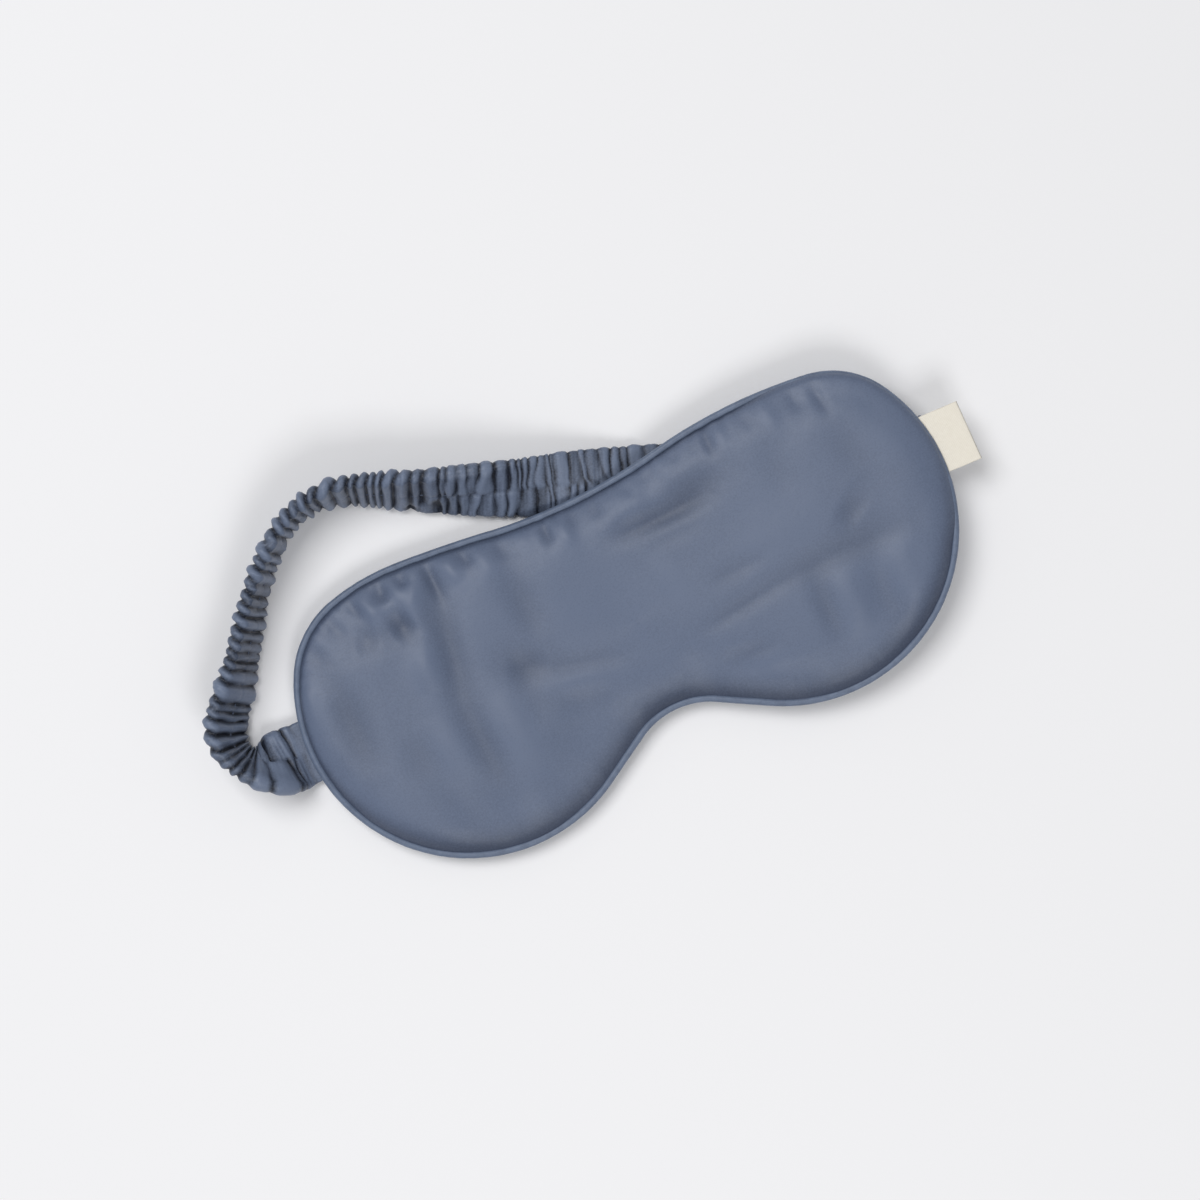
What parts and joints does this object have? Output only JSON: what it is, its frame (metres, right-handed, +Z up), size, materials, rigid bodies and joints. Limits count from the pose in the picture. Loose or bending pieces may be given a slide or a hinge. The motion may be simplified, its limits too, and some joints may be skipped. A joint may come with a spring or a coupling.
{
  "type": "padded sleep mask",
  "caption": "Padded satin eye mask with piped edge, nose notch, ruched elastic head strap tucked under it and a bare ribbon label at one end.",
  "frame": {"origin": "middle of the left half's rest face, where the back of the mask lies on the table", "axes": "+X along the mask towards the label, +Y towards the forehead edge, +Z up out of the front"},
  "size_m": [0.2527, 0.1297, 0.0214],
  "materials": {
    "satin": "satin weave, soft sheen",
    "wadding": "polyester wadding, matte",
    "liner": "plain black, matte",
    "cotton": "twisted cotton, matte",
    "thread": "polyester thread",
    "elastic": "woven elastic, matte",
    "ribbon": "cotton ribbon, matte"
  },
  "bodies": {
    "left_half": {"front_panel_left": "satin", "front_wadding_left": "wadding", "blackout_liner_left": "liner", "back_wadding_left": "wadding", "back_panel_left": "satin", "piping_cover_left": "satin", "piping_cord_left": "cotton", "seam_stitches_left": "thread", "strap_cover_left": "satin", "strap_elastic_left": "elastic", "strap_tack_left": "thread"},
    "right_half": {"front_panel_right": "satin", "front_wadding_right": "wadding", "blackout_liner_right": "liner", "back_wadding_right": "wadding", "back_panel_right": "satin", "piping_cover_right": "satin", "piping_cord_right": "cotton", "seam_stitches_right": "thread", "strap_cover_right": "satin", "strap_elastic_right": "elastic", "strap_tack_right": "thread", "label_tail": "ribbon"},
    "label": {"label_flap": "ribbon"}
  },
  "joints": [
    {"name": "bridge_fold", "type": "hinge", "parent": "left_half", "child": "right_half", "pos_m": [0.0535, 0, 0.0111], "axis": [0, -1, 0], "range_deg": [0, 160]},
    {"name": "label_flex", "type": "hinge", "parent": "right_half", "child": "label", "pos_m": [0.16237, 0.0054, 0.01393], "axis": [0, -1, 0], "range_deg": [-30, 75], "stiffness_Nm_per_rad": 0.0002}
  ]
}
